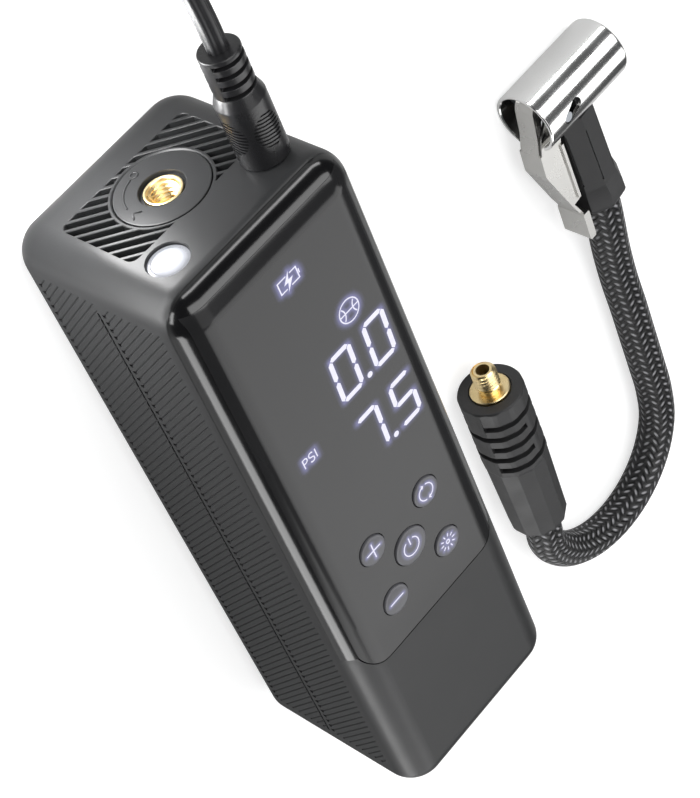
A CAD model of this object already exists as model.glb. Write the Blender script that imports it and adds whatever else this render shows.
# %% [markdown]
# # A portable tyre inflator, ready for its picture
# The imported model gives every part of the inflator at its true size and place. This lesson keeps
# the parts whose form is already right, gives them real finishes, and remakes the ones that the
# eye rests on: the moulded body, the gloss front, the lead, the braided hose and its chuck.

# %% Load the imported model
import math

import bmesh
import bpy
from mathutils import Matrix, Vector
from mathutils.kdtree import KDTree


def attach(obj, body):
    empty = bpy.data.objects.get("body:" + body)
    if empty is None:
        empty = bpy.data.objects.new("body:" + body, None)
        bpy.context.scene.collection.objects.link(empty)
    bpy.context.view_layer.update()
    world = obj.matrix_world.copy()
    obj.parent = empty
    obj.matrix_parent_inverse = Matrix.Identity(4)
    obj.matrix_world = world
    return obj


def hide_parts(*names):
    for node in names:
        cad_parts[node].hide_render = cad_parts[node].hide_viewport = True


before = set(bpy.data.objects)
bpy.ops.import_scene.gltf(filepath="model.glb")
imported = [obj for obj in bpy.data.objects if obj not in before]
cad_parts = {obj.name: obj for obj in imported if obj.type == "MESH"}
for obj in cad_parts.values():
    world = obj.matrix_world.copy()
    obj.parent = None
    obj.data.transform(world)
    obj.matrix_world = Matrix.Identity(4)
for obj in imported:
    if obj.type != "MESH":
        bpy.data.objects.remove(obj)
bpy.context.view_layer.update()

# %% [markdown]
# ## Small helpers
# Sizes are easiest to read in millimetres, and colours as the hex values that a paint chart gives.
# Blender works in metres and in linear light, so two small functions turn one into the other. Two
# more add a node to a finish and put an object into the scene.

# %% Millimetres, colours, nodes and objects
MM = 0.001


def mm(x, y, z):
    """A point given in millimetres, in metres."""
    return Vector((x, y, z)) * MM


def linear(hex_colour):
    """An sRGB hex colour as the linear colour that Blender works in."""
    channels = [int(hex_colour[i:i + 2], 16) / 255 for i in (1, 3, 5)]
    return (*(c / 12.92 if c <= 0.04045 else ((c + 0.055) / 1.055) ** 2.4 for c in channels), 1.0)


def add(tree, kind, inputs=None, **settings):
    """Add a node, set it, and fill its inputs with values, outputs, or nodes for their first output."""
    node = tree.nodes.new("ShaderNode" + kind)
    for name, value in settings.items():
        setattr(node, name, value)
    for name, value in (inputs or {}).items():
        if isinstance(value, bpy.types.Node):
            value = value.outputs[0]
        if isinstance(value, bpy.types.NodeSocket):
            tree.links.new(value, node.inputs[name])
        else:
            node.inputs[name].default_value = value
    return node


def put(name, data):
    """Put a mesh, a curve, a light or a camera into the scene as an object."""
    obj = bpy.data.objects.new(name, data)
    bpy.context.scene.collection.objects.link(obj)
    return obj


print("#808080 in linear light is", round(linear("#808080")[0], 3))

# %% [markdown]
# ## The camera
# The inflator lies on its back and is seen from above its port end, with a long lens that keeps
# its edges nearly parallel. A camera looks along its own -Z, so its turn comes from three unit
# vectors: right, up and backwards.

# %% Place the camera
CAMERA_PLACE = mm(-157.829, 347.530, 319.827)
CAMERA_LOOK = Vector((0.35742746, -0.71046391, -0.60620677))
CAMERA_UP = Vector((0.68709643, 0.63966923, -0.34456027))
LENS_MM, SENSOR_MM = 105.95, 36

lens = bpy.data.cameras.new("long_lens")
lens.lens, lens.sensor_width = LENS_MM, SENSOR_MM
lens.clip_start, lens.clip_end = 0.01, 20
camera = put("camera", lens)
right = CAMERA_LOOK.cross(CAMERA_UP).normalized()
turn = Matrix((right, CAMERA_UP, -CAMERA_LOOK)).transposed().to_4x4()
camera.matrix_world = Matrix.Translation(CAMERA_PLACE) @ turn
bpy.context.scene.camera = camera
print("camera at", [round(v, 3) for v in camera.location], "lens", LENS_MM, "mm")

# %% [markdown]
# ## Sweeping a tube along a line
# Leads and hoses are one section carried along a line. Blender's curves do this with a bevel
# object, and turning the result into a mesh keeps a UV map that runs along and round the tube,
# which is what a braid or a rib follows. The line is first made smooth through its few points.

# %% Smooth lines and swept tubes
def smooth_line(points, step):
    """Points about one step apart on a smooth line through the given points (centripetal)."""
    ends = [points[0] * 2 - points[1], *points, points[-1] * 2 - points[-2]]
    line = []
    for a, b, c, d in zip(ends, ends[1:], ends[2:], ends[3:]):
        knots = [0.0]
        for p, q in ((a, b), (b, c), (c, d)):
            knots.append(knots[-1] + (q - p).length ** 0.5)
        t0, t1, t2, t3 = knots
        count = max(1, round((c - b).length / step))
        for i in range(count):
            t = t1 + (t2 - t1) * i / count
            ab = a.lerp(b, (t - t0) / (t1 - t0))
            bc = b.lerp(c, (t - t1) / (t2 - t1))
            cd = c.lerp(d, (t - t2) / (t3 - t2))
            abc = ab.lerp(bc, (t - t0) / (t2 - t0))
            bcd = bc.lerp(cd, (t - t1) / (t3 - t1))
            line.append(abc.lerp(bcd, (t - t1) / (t2 - t1)))
    return [*line, points[-1].copy()]


def line_length(line):
    """The length of a line of points."""
    return sum((b - a).length for a, b in zip(line, line[1:]))


def curve_object(name, points, closed=False):
    """A curve with one spline of straight steps through the points."""
    data = bpy.data.curves.new(name, "CURVE")
    data.dimensions = "3D"
    spline = data.splines.new("POLY")
    spline.points.add(len(points) - 1)
    for spot, p in zip(spline.points, points):
        spot.co = (*p, 1)
    spline.use_cyclic_u = closed
    return put(name, data)


def discard(obj):
    """Remove a helper object and its data."""
    data = obj.data
    bpy.data.objects.remove(obj)
    {bpy.types.Curve: bpy.data.curves, bpy.types.Mesh: bpy.data.meshes}[type(data)].remove(data)


def swept_tube(name, line, section):
    """A mesh tube: the section, a list of (x, y), carried along the line, closed at both ends."""
    rail = curve_object(name + "_rail", line)
    rim = curve_object(name + "_rim", [Vector((x, y, 0)) for x, y in section], closed=True)
    rail.data.bevel_mode = "OBJECT"
    rail.data.bevel_object = rim
    rail.data.use_fill_caps = True
    depsgraph = bpy.context.evaluated_depsgraph_get()
    mesh = bpy.data.meshes.new_from_object(rail.evaluated_get(depsgraph))
    mesh.name = name
    discard(rail)
    discard(rim)
    for polygon in mesh.polygons:
        polygon.use_smooth = True
    return put(name, mesh)


def round_section(radius, sides, ridges=0, groove=0.0):
    """A round section, with ridges that are separated by shallow grooves."""
    spots = []
    for i in range(sides):
        angle = math.tau * i / sides
        r = radius - groove * (0.5 + 0.5 * math.cos(ridges * angle)) ** 3
        spots.append((r * math.cos(angle), r * math.sin(angle)))
    return spots


print("a plain section of 36 sides has", len(round_section(1, 36)), "points")

# %% [markdown]
# ## The power lead
# A 12 V lead is a soft two-core cable of about 2.5 m. It leaves its plug straight, sinks to the
# table under its own weight, and what isn't used is wound flat in a neat coil. The coil spirals
# in and out again in four layers, so every turn lies beside or on the one before it.

# %% The lead's route
LEAD_D, LEAD_STEP = 4.2 * MM, 1.2 * MM
COIL_CENTRE = mm(49.3, 182, 2.7)
COIL_R = 25 * MM
COIL_PITCH = 4.65 * MM
COIL_LAYERS = 4
COIL_TURNS = 14.5
LAYER_TURNS = 3.5
STEPS_PER_TURN = 48
TAIL_SHIFT = 40


def coil_point(t):
    """Where the coil's centre line is after t turns."""
    wound = min(t, COIL_LAYERS * LAYER_TURNS - 0.0001)
    layer = int(wound / LAYER_TURNS)
    share = wound / LAYER_TURNS - layer
    outward = 1 - 2 * share if layer % 2 == 0 else 2 * share - 1
    radius = COIL_R + COIL_PITCH * LAYER_TURNS / 2 * outward + COIL_PITCH * (t - wound)
    near = round(wound / LAYER_TURNS)
    if 1 <= near <= COIL_LAYERS - 1:
        level = near - 1 + max(0.0, min(1.0, (wound - near * LAYER_TURNS) / 0.5 + 0.5))
    else:
        level = max(0, min(COIL_LAYERS - 1, layer))
    angle = math.pi - math.tau * t
    return COIL_CENTRE + Vector((radius * math.cos(angle), radius * math.sin(angle), COIL_PITCH * level))


coil = [coil_point(i / STEPS_PER_TURN) for i in range(int(COIL_TURNS * STEPS_PER_TURN) + 1)]
LEAD_EXIT = mm(15.2, 103.6, 35.3)
coil_start, coil_end = (spot - Vector((0, LEAD_D, 0)) for spot in (coil[0], coil[-1]))
lead_drop = [(0, 0, 0), (0, 6.4, 0), (0, 14.4, -0.9), (0, 22.4, -3.7), (0.1, 29.4, -8.3), (0.2, 35.9, -14.3),
             (0.4, 42.4, -20.8), (0.6, 49.4, -26.5), (0.8, 57.4, -30.7)]
lead_points = [LEAD_EXIT + mm(*step) for step in lead_drop]
lead_points += [coil_start - mm(0, 6, 0), coil_start, coil[0]]
tail_run = [(0, -14.7, 16.15), (0, -20.5, 14.61), (0, -26.3, 12.27), (0, -32.1, 9.5), (1.52, -42.65, 4.68),
            (5.86, -49.14, 2.62), (12.35, -53.48, 2.3), (20, -55, 2.3), (27.66, -53.48, 2.3),
            (34.14, -49.14, 2.3), (38.48, -42.65, 2.3), (TAIL_SHIFT, -35, 2.45), (TAIL_SHIFT, -28.5, 3.6),
            (TAIL_SHIFT, -22, 5.59), (TAIL_SHIFT, -15.5, 7.82), (TAIL_SHIFT, -9, 9.63)]
TAIL_END = Vector((coil_end.x + TAIL_SHIFT * MM, COIL_CENTRE.y + 2.95 * MM, 10.5 * MM))
tail_points = [coil[-1], coil_end, coil_end - mm(0, 5, 0)]
tail_points += [Vector((coil_end.x + x * MM, COIL_CENTRE.y + y * MM, z * MM)) for x, y, z in tail_run]
tail_points += [TAIL_END - mm(0, 4.2, 0), TAIL_END]
lead_line = smooth_line(lead_points, LEAD_STEP) + coil[1:-1] + smooth_line(tail_points, LEAD_STEP)
power_cord = swept_tube("power_cord", lead_line, round_section(LEAD_D / 2, 36, ridges=6, groove=0.36 * MM))

# %% [markdown]
# ## The braided hose
# The hose is a rubber tube in a sleeve of black yarn. It leaves its connector straight, lies down
# on the table and turns back in one wide bend to the chuck. It is drawn a little thinner than it
# measures over its loose yarn.

# %% The hose's route
HOSE_D = 10 * MM
HOSE_START = mm(61.7, -101.55, 8.2)
GRIP_TILT = math.radians(3)
GRIP_TOP = mm(109.8, -3.6, 8)
GRIP_L = 30.5 * MM
grip_axis = Vector((math.sin(GRIP_TILT), -math.cos(GRIP_TILT), 0))
HOSE_END = GRIP_TOP + grip_axis * (GRIP_L + 0.05 * MM)
hose_bend = [(61.7, -104.5, 8.2), (61.7, -107.5, 7.9), (61.9, -112, 7), (63.6, -117.7, 6.2), (69.1, -126, 5.2),
             (77.4, -131.5, 5), (87.1, -133.4, 5), (96.8, -131.5, 5), (105.1, -126, 5), (110.6, -117.7, 5),
             (112.5, -108, 5), (112.7, -98, 5), (112.7, -87, 5), (112.7, -76, 5), (112.5, -65, 5),
             (112.1, -54, 5.9), (111.7, -45, 7.2)]
hose_points = [HOSE_START, *(mm(*spot) for spot in hose_bend), HOSE_END + grip_axis * 3 * MM, HOSE_END]
hose_line = smooth_line(hose_points, 0.5 * MM)
hose_length = line_length(hose_line)
braided_hose = swept_tube("braided_hose", hose_line, round_section(HOSE_D / 2 - 0.3 * MM, 96))
print("hose:", round(hose_length, 4), "m,", len(braided_hose.data.polygons), "faces")

# %% [markdown]
# ## Each finish, one by one
# A finish is a colour, how sharply it mirrors, and the small relief that moulding, weaving or
# polishing left. No surface is the same all over, so colour and roughness drift between two values
# in soft patches. Finishes are kept under the names of the record's slots.

# %% Start a finish
looks = {}
SHADER, STRAY_LIGHT = "Principled BSDF", 0.48


def start_finish(name, hex_colour, roughness, **shader_values):
    """A new material with its node tree and its shader."""
    material = bpy.data.materials.new(name)
    material.use_nodes = True
    tree = material.node_tree
    tree.nodes.clear()
    inputs = {"Base Color": linear(hex_colour), "Roughness": roughness}
    inputs.update({key.replace("_", " "): value for key, value in shader_values.items()})
    shader = add(tree, "BsdfPrincipled", inputs)
    add(tree, "OutputMaterial", {"Surface": shader})
    return material, tree, shader


def drifting(name, hex_dark, hex_light, patch_mm, rough_low, rough_high, grain_mm=None, **shader_values):
    """A finish that drifts in patches of a size. A fine grain has a size and a depth, in millimetres."""
    material, tree, shader = start_finish(name, hex_dark, rough_low, **shader_values)
    place = add(tree, "TexCoord").outputs["Object"]
    drift = add(tree, "TexNoise", {"Vector": place, "Scale": 1 / (patch_mm * MM), "Detail": 3.0})
    colour = add(tree, "Mix", {"Factor": drift, 6: linear(hex_dark), 7: linear(hex_light)}, data_type="RGBA")
    rough = add(tree, "MapRange", {"Value": drift, "From Min": 0.3, "From Max": 0.7,
                                   "To Min": rough_low, "To Max": rough_high})
    tree.links.new(colour.outputs[2], shader.inputs["Base Color"])
    tree.links.new(rough.outputs["Result"], shader.inputs["Roughness"])
    if grain_mm:
        size_mm, depth_mm = grain_mm
        spots = add(tree, "TexNoise", {"Vector": place, "Scale": 1 / (size_mm * MM), "Detail": 2.0})
        bump = add(tree, "Bump", {"Height": spots, "Strength": 1.0, "Distance": depth_mm * MM})
        tree.links.new(bump.outputs["Normal"], shader.inputs["Normal"])
    return material


def stray_light(material):
    """Violet light that leaks sideways from the lit marks, where the piece's glow attribute says so."""
    tree = material.node_tree
    shader = tree.nodes[SHADER]
    near = add(tree, "Attribute", attribute_name="glow")
    leak = add(tree, "Math", {0: near.outputs["Fac"], 1: STRAY_LIGHT}, operation="MULTIPLY")
    shader.inputs["Emission Color"].default_value = linear("#a9a9f2")
    tree.links.new(leak.outputs[0], shader.inputs["Emission Strength"])


print("a finish can hold a grain and stray light of strength", STRAY_LIGHT)

# %% [markdown]
# ### Plastics
# The body is ABS from a mould with a very fine matt grain. The front frame is the same plastic
# from a polished mould. The window is smoke-dyed acrylic, and the keys let a little light through.
# The body's flat sides are etched rougher than the rest, so their finish asks how far from the
# middle a point is.

# %% Satin, gloss and grey plastics
SIDE_ROUGHNESS = 0.74

# Dark grey where light falls on it, in broad soft bands without a mirror image.
satin = drifting("satin_moulded_abs", "#222223", "#262728", 14, 0.36, 0.42, (0.35, 0.012), Specular_IOR_Level=0.4)
tree, shader = satin.node_tree, satin.node_tree.nodes[SHADER]
apart = add(tree, "SeparateXYZ", {0: add(tree, "TexCoord").outputs["Object"]})
to_side = add(tree, "Math", {0: apart.outputs["X"]}, operation="ABSOLUTE")
on_side = add(tree, "MapRange", {"Value": to_side, "From Min": 22.9 * MM, "From Max": 23.8 * MM})
drifted = shader.inputs["Roughness"].links[0].from_socket
etched = add(tree, "Mix", {"Factor": on_side, 2: drifted, 3: SIDE_ROUGHNESS}, data_type="FLOAT")
tree.links.new(etched.outputs[0], shader.inputs["Roughness"])
looks["satin_black_plastic"] = satin

# Nearly black, with sharp bright reflections, as lacquer has.
looks["gloss_black_plastic"] = drifting("gloss_black_abs", "#08080a", "#0c0c0d", 20, 0.12, 0.15)

# A calm dark pane, a shade lighter than the frame round it.
looks["smoked_window"] = drifting("smoked_acrylic", "#1d1d1e", "#202021", 30, 0.14, 0.18, Specular_IOR_Level=0.36)
stray_light(looks["smoked_window"])

# Middle grey and half matt, so that the keys stand out from the pane.
looks["button_grey"] = drifting("grey_key_plastic", "#555559", "#5c5c60", 4, 0.34, 0.42, (0.25, 0.008))
stray_light(looks["button_grey"])

# Dull dark grey, which keeps what shows behind the slots quiet.
looks["frame_plastic"] = drifting("dark_frame_abs", "#2d2e31", "#343539", 10, 0.5, 0.62, (0.5, 0.02))

# Warm white with a soft shine.
looks["white_part"] = drifting("white_nylon", "#e2dfd5", "#eae7df", 6, 0.4, 0.5)

# One plain red, easy to find among the dark parts.
looks["red_part"] = drifting("red_plastic", "#a93528", "#bb4033", 4, 0.35, 0.45)

# The cream of undyed nylon, a little waxy.
looks["nylon_gear"] = drifting("natural_gear_nylon", "#d3cdbd", "#dfdacd", 5, 0.36, 0.48)

# Milky and smooth.
looks["silicone_tube"] = drifting("silicone_tube", "#e0dccf", "#ece9df", 6, 0.3, 0.4)

# Deep green under a soft gloss: lacquer over bare board.
looks["pcb_green"] = drifting("solder_mask_green", "#1c5533", "#24663f", 5, 0.25, 0.36)

# A white lamp behind a clear dome: the glow itself is set where the lens is made.
looks["lamp_clear"], tree, shader = start_finish("lit_lamp_lens", "#505256", 0.12)
shader.inputs["Emission Color"].default_value = linear("#f4f6ff")
print("plastics:", len(looks))

# %% [markdown]
# ### Rubbers
# The plugs and the cable are soft PVC, with the slight orange peel that it takes in cooling. The
# sleeve and the chuck's grip are moulded rubber, which is duller.

# %% Soft PVC, rubber and cell wrap
# Nearly black, with a broad shine that follows the ribs and slots.
looks["rubber_black"] = drifting("black_soft_pvc", "#1b1b1c", "#202022", 8, 0.24, 0.32, (0.6, 0.02),
                                 Specular_IOR_Level=0.62)

# The same PVC drawn through a die: one long, dull light along each ridge.
cable_pvc = drifting("black_cable_pvc", "#1d1d1f", "#232325", 12, 0.3, 0.4, (0.8, 0.02))

# Charcoal and dull, so that its flats show only as faint steps of grey.
grip_rubber = drifting("black_moulded_rubber", "#232324", "#2a2a2b", 7, 0.44, 0.56, (0.5, 0.025))

# Blue shrink film, smooth and shiny.
looks["cell_wrap"] = drifting("pvc_cell_wrap", "#3b78b6", "#4485c6", 18, 0.26, 0.36)
print("with the rubbers:", len(bpy.data.materials), "materials")

# %% [markdown]
# ### Metals
# Brass is turned and left as it is, so fine tool marks blur what it mirrors. The chuck's barrel
# is polished chrome, its lever is pressed sheet, and its pins are zinc plated. Metals are told
# apart by how sharply they mirror as much as by their tint.

# %% Brass, chrome, steel and copper
# Warm gold that glows more than it mirrors.
looks["brass_metal"] = drifting("turned_brass", "#f2d79a", "#fbe8bc", 3, 0.24, 0.34, Metallic=1.0)

# A pale mirror: sharp dark and bright bands along the barrel.
looks["chrome_bright"] = drifting("polished_chrome", "#e6e6e5", "#f0f0ef", 9, 0.13, 0.18, Metallic=1.0)

# A softer silver beside the chrome.
sheet_steel = drifting("satin_sheet_steel", "#b8b7b4", "#c6c5c2", 5, 0.24, 0.33, Metallic=1.0)

# A cold gleam on shafts and springs.
looks["steel_bright"] = drifting("bright_steel", "#bcbec1", "#cccdd0", 5, 0.2, 0.32, Metallic=1.0)

# A dull bluish grey.
looks["zinc_grey"] = drifting("zinc_plate", "#969a9f", "#a9adb2", 6, 0.34, 0.48, Metallic=1.0)

# Brown orange under lacquer, in the windings.
looks["copper_rotor"] = drifting("lacquered_copper", "#ac5f33", "#c47547", 2, 0.24, 0.38, Metallic=1.0)
print("with the metals:", len(bpy.data.materials), "materials")

# %% [markdown]
# ### The braid of the hose
# The sleeve is black polyester, whose filaments catch the light where they run across it, so its
# strands are dark with pale flecks. Fourteen bundles run round the hose each way, over two and
# under two of the others, which draws lengthwise rows of small arrow heads. The tube's UV map runs
# along it and round it, so two slanted counts tell which bundle of each way a point is on, how far
# across it, and which one is on top there.

# %% Braided polyester
BUNDLES, BUNDLE_MM, STRANDS = 14, 2.45, 5

hose_yarn, tree, shader = start_finish("braided_polyester", "#2a2a2c", 0.42)
spread = add(tree, "SeparateXYZ", {0: add(tree, "TexCoord").outputs["UV"]})
lengths = round(hose_length / (BUNDLE_MM * MM))
along = add(tree, "Math", {0: spread.outputs["X"], 1: lengths}, operation="MULTIPLY")
around = add(tree, "Math", {0: spread.outputs["Y"], 1: BUNDLES}, operation="MULTIPLY")
counts = [add(tree, "Math", {0: around, 1: along}, operation=way) for way in ("ADD", "SUBTRACT")]
whole = [add(tree, "Math", {0: count}, operation="FLOOR") for count in counts]
across = [add(tree, "Math", {0: count}, operation="FRACT") for count in counts]
crossing = add(tree, "Math", {0: whole[0], 1: whole[1]}, operation="ADD")
turn = add(tree, "Math", {0: crossing, 1: 4.0}, operation="FLOORED_MODULO")
on_top = add(tree, "Math", {0: turn, 1: 1.5}, operation="LESS_THAN")
heights = []
for mine, other in (across, across[::-1]):
    half_turn = add(tree, "Math", {0: mine, 1: math.pi}, operation="MULTIPLY")
    swell = add(tree, "Math", {0: half_turn}, operation="SINE")
    passed = add(tree, "Math", {0: turn, 1: other}, operation="ADD")
    quarter_turns = add(tree, "Math", {0: passed, 1: math.pi / 2}, operation="MULTIPLY")
    hump = add(tree, "Math", {0: quarter_turns}, operation="SINE")
    rise = add(tree, "Math", {0: hump}, operation="ABSOLUTE")
    lift = add(tree, "Math", {0: rise, 1: 0.65, 2: 0.35}, operation="MULTIPLY_ADD")
    strand_turns = add(tree, "Math", {0: mine, 1: math.tau * STRANDS}, operation="MULTIPLY")
    strands = add(tree, "Math", {0: strand_turns}, operation="SINE")
    bundle = add(tree, "Math", {0: swell, 1: lift}, operation="MULTIPLY")
    heights.append(add(tree, "Math", {0: strands, 1: 0.05, 2: bundle}, operation="MULTIPLY_ADD"))
height = add(tree, "Mix", {"Factor": on_top, 2: heights[1], 3: heights[0]}, data_type="FLOAT")
shade = add(tree, "ValToRGB", {"Fac": height})
low_tone, high_tone = shade.color_ramp.elements
low_tone.position, low_tone.color = 0.25, linear("#040405")
high_tone.position, high_tone.color = 0.98, linear("#98989b")
shade.color_ramp.elements.new(0.7).color = linear("#1b1b1d")
tree.links.new(shade.outputs["Color"], shader.inputs["Base Color"])
bump = add(tree, "Bump", {"Height": height, "Strength": 1.0, "Distance": 0.6 * MM})
tree.links.new(bump.outputs["Normal"], shader.inputs["Normal"])
looks["hose_braid"] = hose_yarn
print("finishes:", len(bpy.data.materials))

# %% [markdown]
# ## Dressing the parts that stay
# The record names a slot for each part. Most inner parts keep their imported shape, so each only
# needs its slot filled. A slot without a finish of its own looks like the inner frame.

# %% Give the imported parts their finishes
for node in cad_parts.values():
    for place in node.material_slots:
        packed = place.material.name if place.material else ""
        place.material = next((look for slot, look in looks.items() if slot in packed), looks["frame_plastic"])
    print(node.name, [place.material.name for place in node.material_slots])
# The chuck's pins are zinc plated, so they look duller than the chrome round them.
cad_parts["lever_pins"].material_slots[0].material = looks["zinc_grey"]

# %% [markdown]
# ## Making solid forms
# Moulded and turned parts begin as simple closed forms that are cut from each other, as a
# toolmaker cuts a mould. A box, a turned profile and a straight column are enough to start from.

# %% Boxes, turned forms and columns
MERGE = 0.0005 * MM
UP, OUT, BACK, ALONG = Vector((0, 0, 1)), Vector((0, 1, 0)), Vector((0, -1, 0)), Vector((1, 0, 0))


def box_shape(low, high):
    """A box given by its two opposite corners, in millimetres."""
    low, high = mm(*low), mm(*high)
    shape = bmesh.new()
    bmesh.ops.create_cube(shape, size=1)
    bmesh.ops.scale(shape, vec=high - low, verts=shape.verts)
    bmesh.ops.translate(shape, vec=(low + high) / 2, verts=shape.verts)
    return shape


def move(shape, matrix):
    """Move or turn a form by a matrix, and keep its normals right."""
    bmesh.ops.transform(shape, matrix=matrix, verts=shape.verts)


def tilt(shape, degrees, axis):
    """Turn a form about one of the frame's axes."""
    move(shape, Matrix.Rotation(math.radians(degrees), 4, axis))


def standing(place, direction):
    """The turn that stands a form on a place, its own Z along the direction and its Y upwards."""
    ahead = Vector(direction).normalized()
    upright = OUT if abs(ahead.z) > 0.99 else UP
    side = upright.cross(ahead).normalized()
    return Matrix.Translation(place) @ Matrix((side, ahead.cross(side), ahead)).transposed().to_4x4()


def draw(shape, points):
    """Points of a form joined by edges. A line that ends where it starts is closed."""
    closed = points[0] == points[-1]
    spots = [shape.verts.new(p) for p in (points[:-1] if closed else points)]
    return spots, [shape.edges.new(pair) for pair in zip(spots, spots[1:] + (spots[:1] if closed else []))]


def raise_up(shape, geom, height):
    """Move the points in geom up by a height in millimetres."""
    points = [v for v in geom if isinstance(v, bmesh.types.BMVert)]
    bmesh.ops.translate(shape, vec=mm(0, 0, height), verts=points)


def lathe(profile, place, direction, steps=72, start=0.0, sweep=360.0):
    """A form turned from (radius, height) steps in millimetres. A part turn is closed at its ends."""
    shape = bmesh.new()
    spots, rim = draw(shape, [mm(r, 0, h) for r, h in profile])
    whole = sweep == 360.0
    geom = spots + rim + ([] if whole else [shape.faces.new(spots)])
    tilt(shape, start, "Z")
    bmesh.ops.spin(shape, geom=geom, cent=(0, 0, 0), axis=UP, dvec=(0, 0, 0), angle=math.radians(sweep),
                   steps=steps, use_merge=whole, use_duplicate=False)
    bmesh.ops.remove_doubles(shape, verts=shape.verts, dist=MERGE)
    move(shape, standing(place, direction))
    bmesh.ops.recalc_face_normals(shape, faces=shape.faces)
    return shape


def column(outline, low, high):
    """A straight column: an outline in X and Y, from a low height to a high one, in millimetres."""
    shape = bmesh.new()
    base = shape.faces.new([shape.verts.new(mm(x, y, low)) for x, y in outline])
    raise_up(shape, bmesh.ops.extrude_face_region(shape, geom=[base])["geom"], high - low)
    bmesh.ops.recalc_face_normals(shape, faces=shape.faces)
    return shape


print("a box has", len(box_shape((0, 0, 0), (1, 1, 1)).faces), "faces")

# %% [markdown]
# ### From forms to pieces
# An exact Boolean joins or cuts the forms. Each finished form has its doubled points merged, its
# faces turned outwards and its sharp edges marked, so that light runs smoothly over the rest.

# %% Rounding, gathering and cutting
IN_PLANE = 1e-6


def edges_along(shape, axis, test=lambda p: True):
    """The edges that run along an axis (0, 1 or 2) and whose both ends pass a test."""
    return [e for e in shape.edges if all(test(v.co) for v in e.verts)
            and all(abs(e.verts[0].co[i] - e.verts[1].co[i]) < IN_PLANE for i in range(3) if i != axis)]


def edges_at(shape, axis, level, test=lambda p: True):
    """The edges that lie where an axis is at a level in millimetres, and whose both ends pass a test."""
    return [e for e in shape.edges
            if all(abs(v.co[axis] - level * MM) < IN_PLANE and test(v.co) for v in e.verts)]


def round_off(shape, edges, radius, segments):
    """Round these edges to a radius in millimetres."""
    bmesh.ops.bevel(shape, geom=edges, offset=radius * MM, offset_type="OFFSET", segments=segments, profile=0.5,
                    affect="EDGES", clamp_overlap=False, material=-1)


def slice_at(shape, place, across):
    """Add edges to a form where the plane through a place, square to a direction, meets it."""
    geom = [*shape.verts, *shape.edges, *shape.faces]
    bmesh.ops.bisect_plane(shape, geom=geom, plane_co=place, plane_no=across, dist=1e-7)


def gather(shapes):
    """Several forms as one, without joining what touches."""
    together = bmesh.new()
    for shape in shapes:
        mesh = bpy.data.meshes.new("part")
        shape.to_mesh(mesh)
        shape.free()
        together.from_mesh(mesh)
        bpy.data.meshes.remove(mesh)
    return together


def as_object(shape, name="form"):
    """A form as an object in the scene."""
    mesh = bpy.data.meshes.new(name)
    shape.to_mesh(mesh)
    shape.free()
    return put(name, mesh)


def combine(shape, *others, operation="DIFFERENCE"):
    """Cut a form with others one by one, or join or cross them."""
    for other in others:
        base, tool = as_object(shape), as_object(other)
        cut = base.modifiers.new("cut", "BOOLEAN")
        cut.operation, cut.object, cut.solver = operation, tool, "EXACT"
        mesh = bpy.data.meshes.new_from_object(base.evaluated_get(bpy.context.evaluated_depsgraph_get()))
        shape = bmesh.new()
        shape.from_mesh(mesh)
        bpy.data.meshes.remove(mesh)
        discard(base)
        discard(tool)
    return shape


block = box_shape((0, 0, 0), (1, 1, 1))
round_off(block, edges_along(block, 2), 0.2, 4)
print("a box with four round edges has", len(block.faces), "faces")

# %% From a form to a piece
def finished(name, shape, body, slot, *nodes, look=None, edge=0.0, wall=0.0, sharp=32):
    """Make a form a piece of the object, with its body, its slot, what it stands for and its finish."""
    bmesh.ops.remove_doubles(shape, verts=shape.verts, dist=MERGE)
    bmesh.ops.dissolve_degenerate(shape, edges=shape.edges, dist=MERGE)
    bmesh.ops.recalc_face_normals(shape, faces=shape.faces)
    for face in shape.faces:
        face.smooth = True
    for side in shape.edges:
        side.smooth = side.calc_face_angle(0) < math.radians(sharp)
    piece = as_object(shape, name)
    piece.data.materials.append(look or looks[slot])
    if wall:
        thick = piece.modifiers.new("wall", "SOLIDIFY")
        thick.thickness, thick.offset, thick.use_even_offset = wall * MM, 0.0, True
    if edge:
        soft = piece.modifiers.new("soft_edges", "BEVEL")
        soft.width, soft.segments, soft.limit_method = edge * MM, 2, "ANGLE"
        soft.angle_limit = math.radians(sharp + 8)
    shading = piece.modifiers.new("even_shading", "WEIGHTED_NORMAL")
    shading.keep_sharp = True
    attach(piece, body)
    if nodes:
        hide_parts(*nodes)
    print(name, "has", len(piece.data.polygons), "faces")
    return piece


# %% [markdown]
# ## The moulded body
# The body is a long block with large round edges. A bevel of every edge at once would make ball
# corners; the real mould rounds the four long edges first and then rolls each end over, so the
# same two steps are used here. Drawing the block in by the wall thickness gives its inside.

# %% The rounded block
BODY_W, BODY_L, BODY_H = 48, 156.2, 49.6
SIDE_R, TOP_R, BOTTOM_R, WALL = 7.4, 7, 5, 2.2
Y_TOP = BODY_L / 2
SEAM_Z, LEDGE_Z, CLEAR_Z = 44.5, 45.8, 60
FRONT_LOW_Y = -28.8
WINDOW_X, WINDOW_LOW_Y, WINDOW_HIGH_Y, WINDOW_R = 21.35, -34, 75.1, 6.5


def body_block(inset, segments):
    """The body's outer form, drawn in by inset on every side."""
    half_x, half_y = BODY_W / 2 - inset, BODY_L / 2 - inset
    block = box_shape((-half_x, -half_y, inset), (half_x, half_y, BODY_H - inset))
    round_off(block, edges_along(block, 1), SIDE_R - inset, segments)
    for end, radius in ((1, TOP_R), (-1, BOTTOM_R)):
        round_off(block, edges_at(block, 1, end * half_y), radius - inset, segments)
    return block


def front_box(low):
    """The room above the seam that the front frame takes, from a height upwards."""
    return box_shape((-30, FRONT_LOW_Y, low), (30, 90, CLEAR_Z))


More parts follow.
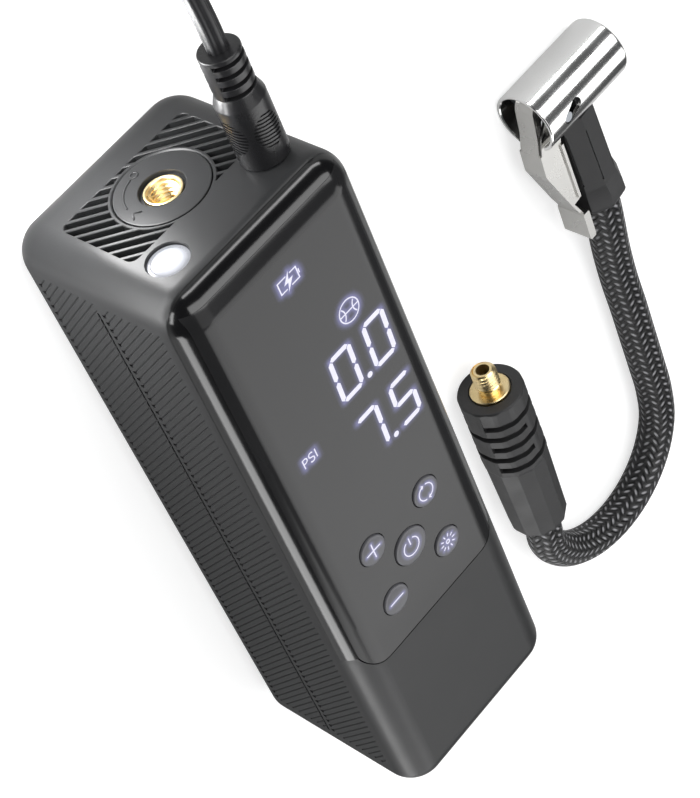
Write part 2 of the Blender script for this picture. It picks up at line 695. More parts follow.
def window_column(grow):
    """The display window's outline above its ledge, grown by grow: its two lower corners are round."""
    half_x = WINDOW_X + grow
    shape = box_shape((-half_x, WINDOW_LOW_Y - grow, LEDGE_Z), (half_x, WINDOW_HIGH_Y + grow, CLEAR_Z))
    round_off(shape, edges_along(shape, 2, lambda p: p.y < 0), WINDOW_R + grow, 14)
    return shape


housing = combine(body_block(0, 16), body_block(WALL, 8), front_box(SEAM_Z))
round_off(housing, edges_at(housing, 2, SEAM_Z, lambda p: abs(p.x) > 22.3 * MM or p.y > 76.5 * MM), 0.3, 2)
housing = combine(housing, window_column(0.28))
print("housing shell:", len(housing.faces), "faces")

# %% [markdown]
# ### The slanted vent grille and the openings of the port face
# Cooling air leaves the motor through bars that slant at 45 degrees. In the mould these are blades
# set in a rectangular block, with a round clear space for the port plate. Crossing slanted boxes
# with that block gives all the slots in one cutter. The wall behind them is thinned first.

# %% Cut the port face
GRILLE_X, GRILLE_Z, GRILLE_H, SLOT_PITCH, SLOT_W = 16.8, 21.15, 10.1, 2.26, 1.5
PORT, LAMP, SOCKET = mm(0, Y_TOP, 22.4), mm(-13, Y_TOP, 36.8), mm(15.2, Y_TOP, 35.3)


def grille_box(behind, before, margin):
    """A box through the port face, as wide and high as the grille and its margin."""
    half_x, half_z = GRILLE_X + margin, GRILLE_H + margin
    return box_shape((-half_x, Y_TOP + behind, GRILLE_Z - half_z), (half_x, Y_TOP + before, GRILLE_Z + half_z))


housing = combine(housing, grille_box(-4, -1.2, 0.6))
grille = grille_box(-5, 1, 0)
round_off(grille, edges_along(grille, 1), 1.8, 6)
grille = combine(grille, lathe([(0, -8), (10.6, -8), (10.6, 4), (0, 4)], PORT, OUT))
blades = []
for i in range(-10, 11):
    middle = i * SLOT_PITCH
    blade = box_shape((-40, Y_TOP - 6, middle - SLOT_W / 2), (40, Y_TOP + 2, middle + SLOT_W / 2))
    tilt(blade, -45, "Y")
    bmesh.ops.translate(blade, vec=mm(0, 0, GRILLE_Z), verts=blade.verts)
    blades.append(blade)
housing = combine(housing, combine(grille, gather(blades), operation="INTERSECT"))
lip = edges_at(housing, 1, Y_TOP, lambda p: abs(p.x) < (GRILLE_X + 0.01) * MM
               and abs(p.z - GRILLE_Z * MM) < (GRILLE_H + 0.01) * MM)
round_off(housing, [e for e in lip if e.calc_face_angle(0) > 1], 0.12, 1)
housing = combine(housing, gather([
    lathe([(0, -6), (9.85, -6), (9.85, -0.25), (10.1, 0.01), (10.1, 1), (0, 1)], PORT, OUT, 96),
    lathe([(0, -6), (4.25, -6), (4.25, -0.2), (4.45, 0.02), (4.45, 1), (0, 1)], LAMP, OUT),
    lathe([(0, -6), (4.2, -6), (4.2, -0.25), (4.45, 0.01), (4.45, 1), (0, 1)], SOCKET, OUT)]))
print("with its openings:", len(housing.faces), "faces")

# %% [markdown]
# ### Grooves of the sides
# Both sides carry two bands of fine slanted grooves, each starting in a small round dimple, with
# one long groove between the bands. They are cut as thin boxes and short pins. The block is sliced
# across first, because one large face with hundreds of cuts in it easily goes wrong.

# %% Cut the sides
RIB_PITCH, RIB_HALF, BAND_H, LOW_Y, HIGH_Y = 1.95, 0.17, 16.5, -71.1, 71.0
BAND_ROOTS_Z, SHORTEST_RIB = (7.5, 25.5), 1.2
for y in range(-70, 71, 14):
    slice_at(housing, mm(0, y, 0), OUT)
cutters, pins = [], []
for side in (-1, 1):
    wall_x = side * BODY_W / 2
    for band_z in BAND_ROOTS_Z:
        for i in range(81):
            y = LOW_Y - BAND_H + (i + 1) * RIB_PITCH
            skipped = max(0.0, LOW_Y - y)
            length = (min(BAND_H, HIGH_Y - y) - skipped) * math.sqrt(2)
            if length < SHORTEST_RIB or y + skipped > HIGH_Y - 1.5:
                continue
            if not skipped:
                dimple = [(0, -0.9), (0.5, -0.9), (0.5, 0.5), (0, 0.5)]
                pins.append(lathe(dimple, mm(wall_x, y, band_z), (side, 0, 0), 12))
            groove = box_shape((-RIB_HALF, 0, -RIB_HALF), (RIB_HALF, length, RIB_HALF))
            tilt(groove, 45, "Y")
            tilt(groove, 45, "X")
            bmesh.ops.translate(groove, vec=mm(wall_x, y + skipped, band_z + skipped), verts=groove.verts)
            cutters.append(groove)
housing = combine(housing, gather(cutters))
print("with slanted grooves:", len(housing.faces), "faces")
pins += [box_shape((x - 0.5, LOW_Y, 23.55), (x + 0.5, 68.6, 24.15)) for x in (-BODY_W / 2, BODY_W / 2)]
housing = combine(housing, gather(pins))
finished("moulded_body", housing, "inflator", "satin_black_plastic", "main_housing")

# %% [markdown]
# ## The gloss frame and the smoked window
# The front frame is a separate moulding from a mirror-polished mould. It follows the same round
# block, so it is cut from the block too. The window is a smoked acrylic plate, rounded over to
# meet the frame, and hollow below for the display. Fine slices give it points that can carry the
# stray light of what it shows.

# %% Frame and window
SKIRT_X, GLOW_STEP = 19.35, 0.65
cap = combine(body_block(0, 16), front_box(SEAM_Z + 0.05), operation="INTERSECT")
cap = combine(cap, box_shape((-SKIRT_X, -40, 40), (SKIRT_X, 73.1, LEDGE_Z + 0.01)),
              box_shape((-WINDOW_X, -40, LEDGE_Z - 0.01), (WINDOW_X, -22.3, CLEAR_Z)), window_column(0.05))
finished("gloss_frame", cap, "inflator", "gloss_black_plastic", "bezel", edge=0.3)

POWER_Y, KEY_STEP = -14, 8.4
key_spots = {"power": (0, POWER_Y, 8.9), "plus": (-KEY_STEP, POWER_Y + KEY_STEP, 7),
             "minus": (-KEY_STEP, POWER_Y - KEY_STEP, 7), "mode": (KEY_STEP, POWER_Y + KEY_STEP, 7),
             "light": (KEY_STEP, POWER_Y - KEY_STEP, 7)}
pane = combine(body_block(0, 16), window_column(0), operation="INTERSECT")
key_holes = [lathe([(0, 40), (d / 2 + 0.2, 40), (d / 2 + 0.2, CLEAR_Z), (0, CLEAR_Z)], mm(x, y, 0), UP)
             for x, y, d in key_spots.values()]
pane = combine(pane, box_shape((-SKIRT_X, -31.5, 40), (SKIRT_X, 72.6, 47.6)), gather(key_holes))
for across, low, high in ((ALONG, -20.2, 20.3), (OUT, -20.2, 71)):
    for i in range(int((high - low) / GLOW_STEP) + 1):
        slice_at(pane, across * ((low + GLOW_STEP * i) * MM), across)
smoked_window = finished("smoked_window", pane, "inflator", "smoked_window", "display_window", edge=0.22)

# %% [markdown]
# ## The keys and their marks
# Each key is a small turned cap with a slightly hollow top, for the fingertip, and a flange that
# keeps it from falling out. The marks on the keys are lit from behind, so they are thin strokes
# of light set into the top. A stroke starts as a line of points that is raised into a low wall,
# and Solidify then gives the wall its width.

# %% Lit marks
# Cool white with a trace of violet, bright enough to read and not so bright that it burns out.
lit_mark, tree, shader = start_finish("lit_translucent_mark", "#5c5c68", 0.4, Emission_Strength=0.84)
place = add(tree, "TexCoord").outputs["Object"]
glimmer = add(tree, "TexNoise", {"Vector": place, "Scale": 1 / (1.5 * MM), "Detail": 1.0})
tint = add(tree, "Mix", {"Factor": glimmer, 6: linear("#e6e4ff"), 7: linear("#fbfaff")}, data_type="RGBA")
tree.links.new(tint.outputs[2], shader.inputs["Emission Color"])


def arc(x, y, radius, start, sweep, steps=24):
    """Points on an arc, its angles in degrees from +X."""
    angles = [math.radians(start + sweep * i / steps) for i in range(steps + 1)]
    return [(x + radius * math.cos(a), y + radius * math.sin(a)) for a in angles]


def ring(x, y, radius):
    """A closed circle of points."""
    line = arc(x, y, radius, 0, 360, 32)
    return line[:-1] + line[:1]


def strokes(lines, low, high):
    """Low walls along lines of (x, y) points."""
    shape = bmesh.new()
    for line in lines:
        rim = draw(shape, [mm(x, y, low) for x, y in line])[1]
        raise_up(shape, bmesh.ops.extrude_edge_only(shape, edges=rim)["geom"], high - low)
    return shape


def glow_near(piece, lines, reach=1.7):
    """Give the top of a piece a glow that fades over reach millimetres from the lit lines."""
    spots = []
    for line in lines:
        for a, b in zip(line, line[1:]):
            steps = max(1, int(math.dist(a, b) / 0.3))
            spots += [Vector((*a, 0)).lerp(Vector((*b, 0)), i / steps) for i in range(steps + 1)]
    lookup = KDTree(len(spots))
    for i, spot in enumerate(spots):
        lookup.insert(spot, i)
    lookup.balance()
    glow = piece.data.attributes.new("glow", "FLOAT", "POINT")
    for vertex in piece.data.vertices:
        x, y, z = vertex.co / MM
        far = lookup.find((x, y, 0))[2]
        glow.data[vertex.index].value = max(0.0, 1 - far / reach) ** 2 if z > BODY_H - 0.1 else 0.0


print("a ring of a mark has", len(ring(0, 0, 1)) - 1, "points")

# %% Keys
KEY_TOP = 50.1
key_caps = {}
for key, (x, y, d) in key_spots.items():
    r = d / 2
    hollow = [(0.75, 0.06), (0.6, 0.1), (0.45, 0.12), (0.3, 0.14), (0.15, 0.15), (0, 0.15)]
    cap = lathe([(0, -3.9), (1.5, -3.9), (1.5, -3.3), (r + 0.9, -3.3), (r + 0.9, -2.6), (r, -2.6), (r, -0.35),
                 (r - 0.1, -0.1), (r - 0.35, 0), (r - 0.6, -0.02)] + [(r * share, -dip) for share, dip in hollow],
                mm(x, y, KEY_TOP), UP)
    key_caps[key] = finished(key + "_cap", cap, key + "_key", "button_grey", key + "_button")

rays = [[(r * math.cos(a), r * math.sin(a)) for r in (1.35, 2.1)] for a in [math.tau * i / 10 for i in range(10)]]
marks = {
    "plus": [[(-2, 0), (2, 0)], [(0, -2), (0, 2)]],
    "minus": [[(-2, 0), (2, 0)]],
    "power": [arc(0, -0.1, 2.2, 118, 304), [(0, 0.5), (0, 2.5)]],
    "mode": [arc(0, 0, 2.0, 98, 158), arc(0, 0, 2.0, -82, 158), [(-0.7, 1.5), (-0.28, 1.98), (-0.75, 2.4)],
             [(0.7, -1.5), (0.28, -1.98), (0.75, -2.4)]],
    "light": [ring(0, 0, 0.45)] + rays,
}
for key, lines in marks.items():
    x, y, d = key_spots[key]
    lines = [[(x + a, y + b) for a, b in line] for line in lines]
    walls = strokes(lines, KEY_TOP - 0.2, KEY_TOP - 0.06)
    finished(key + "_mark", walls, key + "_key", "white_part", look=lit_mark, wall=0.26)
    glow_near(key_caps[key], lines, 1.15)

# %% [markdown]
# ## What the display shows
# The digits are seven-segment bars: each bar has pointed ends, and a small dark gap where two
# meet. They stand two hundredths of a millimetre proud of the window, as light that comes through
# the acrylic. The unit, a ball and a cell with its flash are strokes like the marks of the keys.

# %% Digits
SUNK_Z, PROUD_Z = BODY_H - 0.05, BODY_H + 0.02
W, H, BAR, GAP, LEAN = 5.3, 10.8, 1.15, 0.13, math.tan(math.radians(2.5))
segments_of = {"0": "abcdef", "7": "abc", "5": "acdfg"}
digit_bars = {"a": (0, H, W, H), "b": (W, H / 2, W, H), "c": (W, 0, W, H / 2), "d": (0, 0, W, 0),
              "e": (0, 0, 0, H / 2), "f": (0, H / 2, 0, H), "g": (0, H / 2, W, H / 2)}
lit_digits = [("0", 0.25, 31.35), ("0", 10.05, 31.35), ("7", 0.25, 13.45), ("5", 10.05, 13.45)]
full_stops = [(7.8, 31.4), (7.8, 13.4)]


def bar(x0, y0, x1, y1):
    """A pointed bar between two corners of a digit, as a column."""
    along = Vector((x1 - x0, y1 - y0)).normalized()
    across = Vector((-along.y, along.x)) * BAR / 2
    a, b = Vector((x0, y0)) + along * GAP, Vector((x1, y1)) - along * GAP
    shoulder = along * BAR / 2
    outline = [a, a + shoulder - across, b - shoulder - across, b, b - shoulder + across, a + shoulder + across]
    return column([(p.x + LEAN * p.y, p.y) for p in outline], SUNK_Z, PROUD_Z)


def digit(sign, x, y):
    """One digit with its lower left corner line at x, y."""
    shape = gather([bar(*digit_bars[name]) for name in segments_of[sign]])
    bmesh.ops.translate(shape, vec=mm(x, y, 0), verts=shape.verts)
    return shape


stop = [(0, SUNK_Z), (0.68, SUNK_Z), (0.68, PROUD_Z), (0, PROUD_Z)]
digits = [digit(*spot) for spot in lit_digits] + [lathe(stop, mm(x, y, 0), UP, 24) for x, y in full_stops]
finished("display_digits", gather(digits), "inflator", "white_part", look=lit_mark)

# %% Small marks of the display
letters = {
    "P": [(0, 0), (0, 2.2), (0.75, 2.2), (1.1, 1.9), (1.1, 1.4), (0.75, 1.1), (0.05, 1.1)],
    "S": [(1.1, 1.95), (0.85, 2.2), (0.3, 2.2), (0, 1.9), (0, 1.45), (0.25, 1.2), (0.85, 1.0), (1.1, 0.75),
          (1.1, 0.3), (0.8, 0), (0.25, 0), (0, 0.25)],
    "I": [(0, 0), (0, 2.2)],
}
unit = [[(x + dx, 26.5 + y) for x, y in letters[name]] for name, dx in (("P", -13.7), ("S", -12.0), ("I", -10.2))]
ball = [ring(9.3, 48.2, 2.6), [(6.75, 48.2), (11.85, 48.2)], arc(5.9, 48.2, 2.3, -42, 84, 12),
        arc(12.7, 48.2, 2.3, 138, 84, 12)]
cell_icon = [[(-0.75, 64.05), (-2.4, 64.05), (-2.4, 66.75), (-0.1, 66.75)],
             [(0.9, 66.75), (2.6, 66.75), (2.6, 64.05), (0.5, 64.05)], [(2.95, 64.9), (2.95, 65.9)]]
bolt = [(0.75, 67.4), (-1.15, 65.15), (-0.05, 65.15), (-0.65, 63.3), (1.35, 65.65), (0.2, 65.65)]
for name, lines in (("unit_mark", unit), ("display_icons", ball + cell_icon)):
    finished(name, strokes(lines, SUNK_Z, PROUD_Z), "inflator", "white_part", look=lit_mark, wall=0.28)
finished("flash_mark", column(bolt, SUNK_Z, PROUD_Z), "inflator", "white_part", look=lit_mark)
lit_lines = [*unit, *ball, *cell_icon, bolt, *([(x, y), (x + 0.1, y)] for x, y in full_stops)]
for sign, x, y in lit_digits:
    for x0, y0, x1, y1 in (digit_bars[name] for name in segments_of[sign]):
        lit_lines.append([(x + x0 + LEAN * y0, y + y0), (x + x1 + LEAN * y1, y + y1)])
glow_near(smoked_window, lit_lines)

# %% [markdown]
# ## The port plate and the brass port
# The plate round the air port is a turned-looking disc with a shallow pocket; a few faint raised
# marks show which way the hose screws in. The port itself is a brass insert with a rolled lip. Its
# thread is a real helix: a small ridge is carried round the axis while it moves along it, and it
# runs out at both ends as a cut thread does.

# %% Plate, thread and port
THREAD_STEPS, RUN_OUT_STEPS = 40, 12


def thread(foot, crest, pitch, turns, place, direction):
    """A screw thread's ridge, from its foot radius to its crest radius, wound as a helix."""
    shape = bmesh.new()
    rows, last = [], int(THREAD_STEPS * turns)
    for i in range(last + 1):
        turn = i / THREAD_STEPS
        run_out = max(0.06, min(1.0, i / RUN_OUT_STEPS, (last - i) / RUN_OUT_STEPS))
        x, y, tip = math.cos(math.tau * turn), math.sin(math.tau * turn), foot + (crest - foot) * run_out
        rows.append([shape.verts.new(mm(r * x, r * y, (h + turn) * pitch))
                     for r, h in ((foot, 0.04), (tip, 0.42), (tip, 0.54), (foot, 0.92))])
    for a, b in zip(rows, rows[1:]):
        for j in range(4):
            shape.faces.new((a[j], a[(j + 1) % 4], b[(j + 1) % 4], b[j]))
    shape.faces.new(rows[0])
    shape.faces.new(rows[-1][::-1])
    move(shape, standing(place, direction))
    bmesh.ops.recalc_face_normals(shape, faces=shape.faces)
    return shape


plate = lathe([(4.05, -2.7), (10.5, -2.7), (10.5, -2.25), (9.7, -2.25), (9.7, -0.3), (9.62, -0.08), (9.4, 0),
               (5.0, 0), (4.78, -0.08), (4.7, -0.3), (4.7, -1.15), (4.05, -1.15), (4.05, -2.7)], PORT, OUT, 96)
finished("port_plate", plate, "inflator", "satin_black_plastic", "port_disc")
turn_arrow = [arc(0, 0, 7.5, -80, 62), [(6.3, 0.9), (7.5, -0.5), (8.6, 1.0)]]
guides = strokes([*turn_arrow, ring(0, -7.7, 0.75)], -0.05, 0.12)
move(guides, standing(PORT, OUT))
finished("plate_marks", guides, "inflator", "satin_black_plastic", wall=0.34)

insert = lathe([(0, -12), (1.6, -12), (1.6, -10.2), (3.05, -9.6), (3.05, -1.2), (3.3, -0.78), (3.42, -0.6),
                (3.55, -0.52), (3.78, -0.52), (3.92, -0.6), (4.0, -0.8), (4.0, -16), (0, -16)], PORT, OUT)
port_body = gather([insert, thread(3.1, 2.7, 1.0, 8.2, PORT - mm(0, 9.7, 0), OUT)])
finished("threaded_port", port_body, "inflator", "brass_metal", "brass_port")

# %% [markdown]
# ## The lamp
# The lens is a shallow dome over a white light source, brightest in its middle.

# %% Lens
dome = lathe([(0, -3.6), (4.6, -3.6), (4.6, -2.3), (4.2, -2.3), (4.2, -0.75), (4.08, -0.6), (3.62, -0.5),
              (3.5, -0.72), (3.36, -0.5), (2.6, -0.3), (1.4, -0.16), (0, -0.1)], LAMP, OUT)
tree = looks["lamp_clear"].node_tree
place = add(tree, "TexCoord").outputs["Object"]
from_axis = add(tree, "VectorMath", {0: place, 1: LAMP}, operation="DISTANCE")
fade = add(tree, "MapRange", {"Value": from_axis.outputs["Value"], "From Min": 2.1 * MM, "From Max": 3.8 * MM,
                              "To Min": 1.1, "To Max": 0.34})
tree.links.new(fade.outputs["Result"], tree.nodes[SHADER].inputs["Emission Strength"])
finished("domed_lamp_lens", dome, "inflator", "lamp_clear", "lamp_lens")

# %% [markdown]
# ## The lead's plug
# A moulded plug has a smooth barrel that is gripped between finger and thumb, so it carries oval
# patches of fine ribs. Its strain relief is the same soft PVC, slit into rings that are joined by
# a spine on each side, which lets it bend but not kink. A ring slot is a part turn of a small
# rectangle.

# %% Plug barrel with finger patches
def ring_slot(inner, outer, low, width, place, direction, start, sweep=140):
    """The cutter of a slot that runs part of the way round."""
    return lathe([(inner, low), (outer, low), (outer, low + width), (inner, low + width), (inner, low)], place,
                 direction, 30, start, sweep)


barrel = lathe([(0, 0.05), (4.65, 0.05), (4.9, 0.16), (5, 0.45), (5, 14.0), (4.93, 14.35), (4.25, 16.1),
                (4.1, 16.4), (0, 16.4)], SOCKET, OUT, 96)
patch_outline = [(3.0 * math.cos(a) * (1 - 0.1 * math.sin(a) ** 2), 3.9 * math.sin(a))
                 for a in [math.tau * i / 40 for i in range(40)]]
ovals, ribs = [], []
for quarter in range(4):
    patch_place = Matrix.Translation(SOCKET + mm(0, 7.9, 0)) @ Matrix.Rotation(math.radians(90 * quarter), 4, "Y")
    oval = column(patch_outline, 3.2, 6)
    move(oval, patch_place)
    ovals.append(oval)
    for i in range(-5, 6):
        rib = box_shape((-3.05, -0.2, 3.2), (3.05, 0.2, 4.94))
        tilt(rib, -14, "Z")
        move(rib, patch_place @ Matrix.Translation(mm(0, i * 0.78, 0)))
        ribs.append(rib)
around = lathe([(4.6, 2), (6, 2), (6, 13), (4.6, 13), (4.6, 2)], SOCKET, OUT, 96)
sunk = combine(around, gather(ovals), operation="INTERSECT")
barrel = combine(barrel, combine(sunk, gather(ribs)))
finished("plug_barrel", barrel, "power_lead", "rubber_black", "dc_plug", sharp=24)

# %% Strain relief
relief_form = lathe([(0, 16.35), (4.12, 16.35), (4.15, 16.6), (4.15, 25.2), (4.05, 25.42), (3.85, 25.5),
                     (0, 25.5)], SOCKET, OUT, 96)
relief_form = combine(relief_form, gather([ring_slot(2.85, 5, 16.6 + 2.3 * i, 0.95, SOCKET, OUT, start)
                                           for i in range(4) for start in (20, 200)]))
finished("slit_strain_relief", relief_form, "power_lead", "rubber_black", "plug_relief", edge=0.16)

# %% [markdown]
# ## The hose connector
# The hose screws into the inflator by a rubber sleeve with a brass stub in it. The sleeve is
# round at its head, where ring slots give the fingers hold, and has twelve flats that taper to
# the hose. Crossing a round form with a twelve-sided one leaves faint flats on the head too. The
# stub is a turned flange and tube with the same kind of helix on it as in the port.

# %% Sleeve
SLEEVE = mm(61.7, -52.5, 8.2)
sleeve = lathe([(0, 0), (7.5, 0), (7.95, 0.12), (8.2, 0.6), (8.2, 60), (0, 60)], SLEEVE, BACK, 96)
flats = lathe([(0, -1), (8.36, -1), (8.36, 23), (8.1, 23.6), (7.5, 47.2), (7.1, 48.4), (6.5, 49), (0, 49)],
              SLEEVE, BACK, 12, 15)
seat = lathe([(0, -1), (5.35, -1), (5.35, 0.7), (3.45, 0.7), (3.45, 9), (0, 9)], SLEEVE, BACK)
ring_slots = gather([ring_slot(6.8, 10, 4.65 + 3.85 * i, 1.7, SLEEVE, BACK, side + 21 + 65 * (i % 2))
                     for i in range(5) for side in (0, 180)])
sleeve = combine(combine(sleeve, flats, operation="INTERSECT"), seat, ring_slots)
finished("connector_sleeve", sleeve, "hose_set", "rubber_black", "hose_connector", look=grip_rubber, edge=0.25,
         sharp=20)

# %% Brass stub
stub = lathe([(1.7, 7.0), (2.25, 7.0), (2.7, 6.55), (2.7, 1.25), (2.45, 1.0), (2.45, 0.5), (4.7, 0.5),
              (4.95, 0.3), (4.95, -0.6), (3.4, -0.6), (3.4, -8.5), (1.7, -8.5), (1.7, 7.0)], SLEEVE, OUT)
stub = gather([stub, thread(2.62, 3.1, 1.0, 5.2, SLEEVE + mm(0, 1.2, 0), OUT)])
finished("threaded_stub", stub, "hose_set", "brass_metal", "hose_fitting")

# %% [markdown]
# ## The clip-on chuck
# The chuck is a chromed brass barrel with a rubber seal in it. A slot on each side holds the
# lever's pivot pins, so a slot's outline is two half circles joined.

# %% Chrome barrel
CHUCK_Z = 8
CHUCK = mm(97, 1.9, CHUCK_Z)
PIVOT = (103.5, 1.3)
SLOT_SLANT, SLOT_L, SLOT_R = math.radians(27), 3.4, 1.5
tube = lathe([(0, 25.3), (7, 25.3), (7, 0.3), (7.2, 0.05), (7.4, 0), (7.7, 0.02), (7.92, 0.15), (8, 0.4),
              (8, 27.3), (7.9, 27.8), (7.6, 28.2), (7.2, 28.3), (0, 28.3)], CHUCK, ALONG, 128)
mouth = box_shape((96, -14, CHUCK_Z - 3.8), (106.9, 1.9, CHUCK_Z + 3.8))
slot_end = (PIVOT[0] + SLOT_L * math.cos(SLOT_SLANT), PIVOT[1] + SLOT_L * math.sin(SLOT_SLANT))
slot_outline = arc(*PIVOT, SLOT_R, 117, 180, 16) + arc(*slot_end, SLOT_R, -63, 180, 16)
tube = combine(tube, mouth, column(slot_outline, -2, 18))
finished("chrome_barrel", tube, "hose_set", "chrome_bright", "chuck_barrel", edge=0.12, sharp=25)

# %% [markdown]
# ### The lever
# The lever is one piece of pressed sheet steel: a narrow tongue that hooks into the mouth, two
# cheeks that reach the pivot pins, and a folded thumb tab. The tongue is a bent strip, drawn as
# its outline seen from the side.

# %% Sheet-metal lever
LEVER_T = 0.7


def bent_strip(points, width, bend):
    """A strip of sheet through (x, y) points, its bends rounded, as wide as width along Z."""
    spots, offsets = [Vector(p) for p in points], []
    for i, spot in enumerate(spots):
        before = (spot - spots[i - 1]).normalized() if i else (spots[1] - spot).normalized()
        after = (spots[i + 1] - spot).normalized() if i < len(spots) - 1 else before
        middle = (before + after).normalized()
        across = Vector((-middle.y, middle.x))
        offsets.append(spot + across * LEVER_T / max(0.5, middle.dot(before)))
    strip = column([tuple(p) for p in spots + offsets[::-1]], CHUCK_Z - width / 2, CHUCK_Z + width / 2)
    ends = [p * MM for p in (spots[0], spots[-1], offsets[0], offsets[-1])]
    inner = [e for e in edges_along(strip, 2) if min((e.verts[0].co.xy - p).length for p in ends) > 0.5 * MM]
    round_off(strip, inner, bend, 3)
    return strip


upper = bent_strip([(99.9, 6.9), (98.7, 6.5), (97.8, 5.0), (96.9, -2.4), (95.7, -6.6), (95.6, -9.5)], 5.2, 0.5)
lower = bent_strip([(95.75, -6.4), (95.5, -12.5), (100.3, -26.3), (102.3, -31.2)], 6.4, 0.6)
cheek = [(101.3, 2.7), (106.1, 1.3), (102.6, -8), (103, -26), (100.6, -26.3), (95.8, -12.4), (96.2, -6.5),
         (97.4, -2.5)]
members = [lower]
for z in (4.8, 10.5):
    eye = [(0, z + 0.01), (2.6, z + 0.01), (2.6, z + LEVER_T - 0.01), (0, z + LEVER_T - 0.01)]
    members += [column(cheek, z, z + LEVER_T), lathe(eye, mm(*PIVOT, 0), UP, 32)]
tab = box_shape((101.9, -38.6, 4), (104, -30.4, 12))
round_off(tab, edges_along(tab, 2), 0.45, 3)
stiffener = column([(102.1, -8), (102.9, -8), (103.3, -25.2), (102.5, -25.2)], 11, 11.75)
lever = combine(upper, *members, tab, stiffener, operation="UNION")
finished("pressed_lever", lever, "lever", "chrome_bright", "chuck_lever", look=sheet_steel, edge=0.1)

# %% [markdown]
# ### The grip
# A rubber grip covers the joint of hose and chuck. A turning of only eight steps gives its flats,
# with a fine groove between each two of them and a bead at the hose's end.

# %% Rubber grip
FLATS, FIRST_FLAT = 8, 15.5
grip_form = lathe([(0, 0), (6.54, 0), (6.54, 22.0), (6.7, 22.8), (7.24, 25.4), (7.24, 28.7), (6.9, 29.5),
                   (6.04, 30.5), (0, 30.5)], GRIP_TOP, grip_axis, FLATS, FIRST_FLAT)
saddle = lathe([(0, -10), (8.05, -10), (8.05, 40), (0, 40)], CHUCK, ALONG, 96)
lines = []
for i in range(FLATS):
    line = box_shape((6.1, -0.2, 4), (8, 0.2, 20.5))
    tilt(line, 360 / FLATS * i + FIRST_FLAT, "Z")
    move(line, standing(GRIP_TOP, grip_axis))
    lines.append(line)
grip_form = combine(grip_form, saddle, gather(lines))
finished("chuck_grip_cover", grip_form, "hose_set", "rubber_black", "chuck_grip", look=grip_rubber, edge=0.3,
         sharp=20)

# %% [markdown]
# ## Declaring the cords
# The lead and the hose are soft, so each is declared with its route, its length, how stiff it is
# and the pieces on it.

power_cord.data.materials.clear()
power_cord.data.materials.append(cable_pvc)
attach(power_cord, "power_lead")
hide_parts("dc_cord", "cord_coil", "cord_tail")

braided_hose.data.materials.clear()
braided_hose.data.materials.append(hose_yarn)
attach(braided_hose, "hose_set")
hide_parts("hose_tube")
print("cords declared")

# %% [markdown]
# ## Floor and light
# A pale floor with a low wall round it and large soft lights give plain product light. The camera
# sees both papers brighter than they are lit, as white with a soft shadow. Mirrors and glass see
# only a small share of that, so that black gloss and chrome keep their dark bands.

# %% Floor and backdrop
STAGE_R, WALL_H = 2.6, 250


def backdrop_paper(name, camera_boost, glossy_boost):
    """Pale grey paper that glows a little for the camera, and less in mirrors and glass."""
    paper, tree, shader = start_finish(name, "#bcbcbc", 0.9)
    rays = add(tree, "LightPath")
    bounced = add(tree, "Math", {0: rays.outputs["Is Glossy Ray"], 1: rays.outputs["Is Transmission Ray"]},
                  operation="ADD")
    mirrored = add(tree, "Math", {0: bounced, 1: glossy_boost}, operation="MULTIPLY")
    boost = add(tree, "Math", {0: rays.outputs["Is Camera Ray"], 1: camera_boost, 2: mirrored},
                operation="MULTIPLY_ADD")
    shader.inputs["Emission Color"].default_value = linear("#ffffff")
    tree.links.new(boost.outputs[0], shader.inputs["Emission Strength"])
    return paper


sheet = bmesh.new()
bmesh.ops.create_circle(sheet, cap_ends=True, segments=96, radius=STAGE_R)
floor = as_object(sheet, "floor")
floor.data.materials.append(backdrop_paper("pale_paper", 0.68, 0.15))
sheet = bmesh.new()
bmesh.ops.create_circle(sheet, segments=96, radius=STAGE_R)
raise_up(sheet, bmesh.ops.extrude_edge_only(sheet, edges=sheet.edges[:])["geom"], WALL_H)
low_wall = as_object(sheet, "low_wall")
low_wall.data.materials.append(backdrop_paper("lit_wall_paper", 0.9, 0.06))
print("floor and wall of", len(floor.data.polygons) + len(low_wall.data.polygons), "faces")

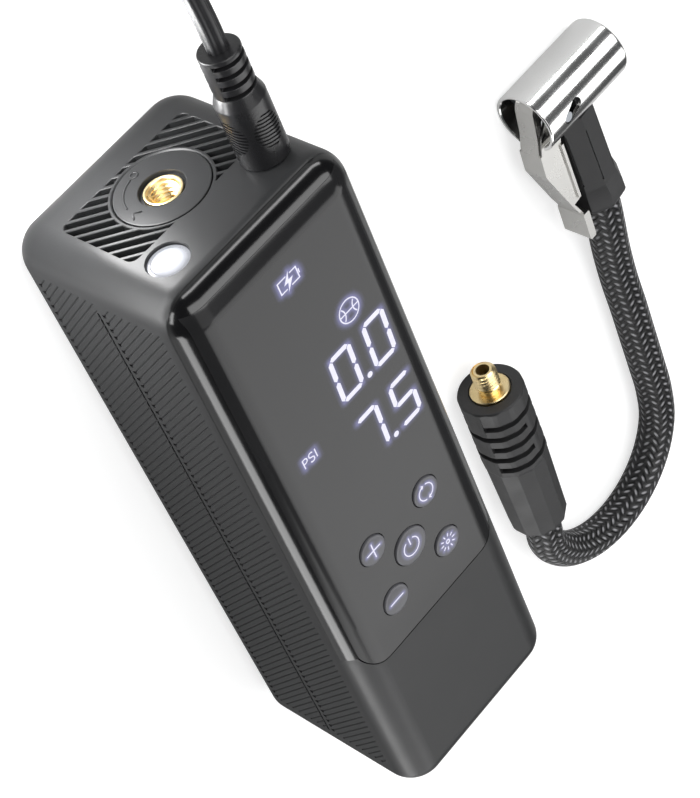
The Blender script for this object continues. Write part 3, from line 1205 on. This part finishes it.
# %% [markdown]
# ### Lights
# Two softboxes and a ceiling panel light the scene, low strips draw bright lines along the gloss
# edges, and a small fill reaches the hose. A light's power follows from its size and how bright
# its face is. The small one by the body's edge is hidden from the camera. The lamp's own light
# falls on the face round it from a point in front of the lens.

# %% Place the lights
MIDDLE = mm(40, 0, 25)
soft_lights = [  # name, place, where it faces, width and height in metres, brightness
    ("port_side_softbox", mm(210, 580, 800), MIDDLE, 1.3, 0.44, 4.2),
    ("far_end_softbox", mm(350, -690, 850), MIDDLE, 1.3, 0.62, 2.1),
    ("ceiling_panel", mm(0, 0, 1700), MIDDLE, 1.8, 1.2, 0.9),
    ("low_left_strip", mm(-620, -690, 150), MIDDLE, 0.7, 0.26, 5.0),
    ("low_lamp_side_strip", mm(-820, 430, 70), MIDDLE, 0.5, 0.12, 8.0),
    ("low_port_strip", mm(370, 930, 150), MIDDLE, 1.0, 0.12, 7.5),
    ("hose_fill", mm(-95, -330, 185), mm(70, -40, 10), 0.2, 0.14, 1.9),
    ("edge_light", mm(-62, 98, 10), mm(-22, 76, 26), 0.09, 0.016, 14.0),
]
for name, place, aim, width, height, brightness in soft_lights:
    data = bpy.data.lights.new(name, "AREA")
    data.shape = "RECTANGLE"
    data.size, data.size_y = width, height
    data.energy = brightness * math.pi * width * height
    softbox = put(name, data)
    softbox.location = place
    softbox.rotation_mode = "QUATERNION"
    softbox.rotation_quaternion = (aim - place).to_track_quat("-Z", "Y")
    softbox.visible_camera = name != "edge_light"
    print(name, "of", round(data.energy, 2), "W")

world = bpy.data.worlds.new("studio")
bpy.context.scene.world = world
world.use_nodes = True
tree = world.node_tree
tree.nodes.clear()
air = add(tree, "Background", {"Color": linear("#dfe0e2"), "Strength": 0.12})
add(tree, "OutputWorld", {"Surface": air})
bpy.context.scene.view_settings.view_transform = "Standard"

lamp_glow = bpy.data.lights.new("lamp_glow", "POINT")
lamp_glow.energy, lamp_glow.shadow_soft_size = 0.062, 8 * MM
put("lamp_glow", lamp_glow).location = LAMP + mm(4, 18, -22)
